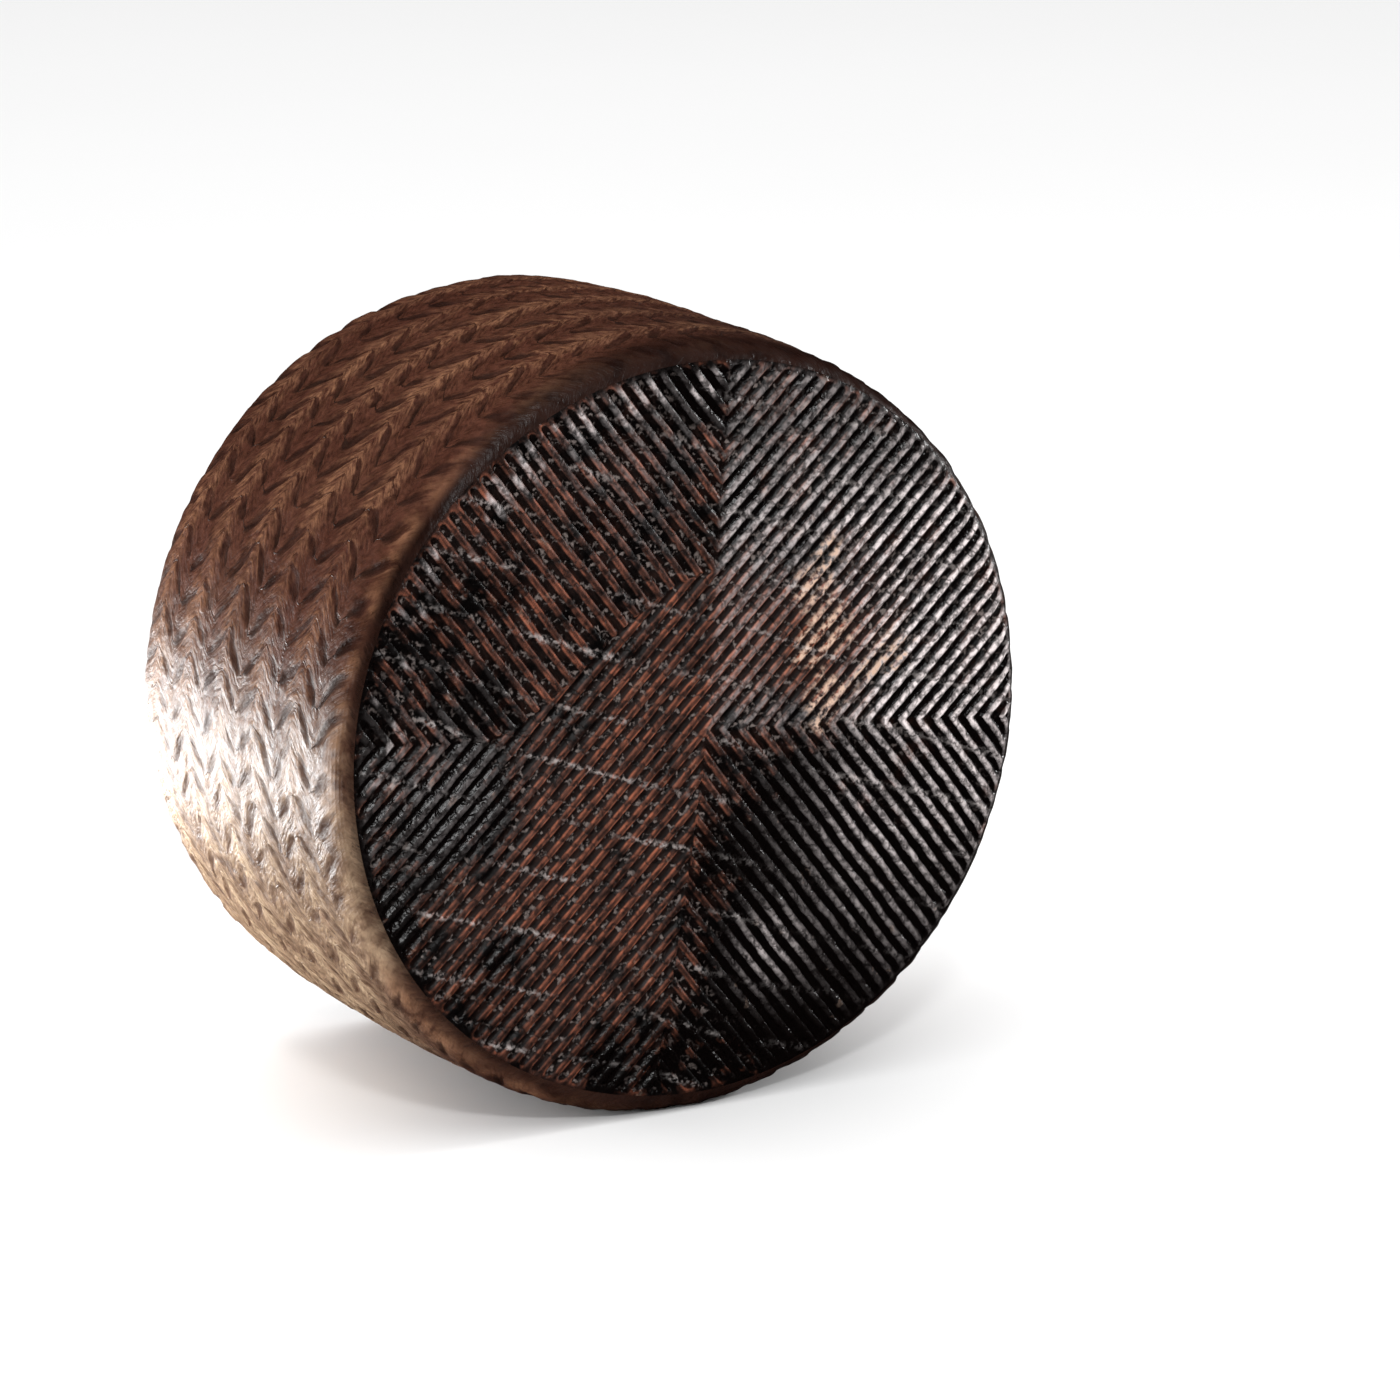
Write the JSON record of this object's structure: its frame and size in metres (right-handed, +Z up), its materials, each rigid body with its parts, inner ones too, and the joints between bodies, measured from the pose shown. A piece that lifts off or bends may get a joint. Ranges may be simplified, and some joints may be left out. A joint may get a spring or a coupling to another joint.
{
  "type": "hard sheep's milk cheese wheel",
  "caption": "Whole wheel of aged hard sheep's milk cheese with a dark waxed rind, plait-printed side and groove-printed faces, standing on its rim.",
  "frame": {"origin": "on the ground under the middle of the wheel, at the bottom centre of its bounding box, on the flat spot that it stands on", "axes": "+Z up, the wheel's axis along Y, the face that the picture shows towards -Y, the side that it shows towards -X"},
  "size_m": [0.1998, 0.112, 0.1985],
  "materials": {
    "waxed_rind": "dark brown waxed rind, satin gloss, tan on the ridges"
  },
  "bodies": {
    "root": {"cheese_wheel": "waxed_rind"}
  },
  "joints": []
}
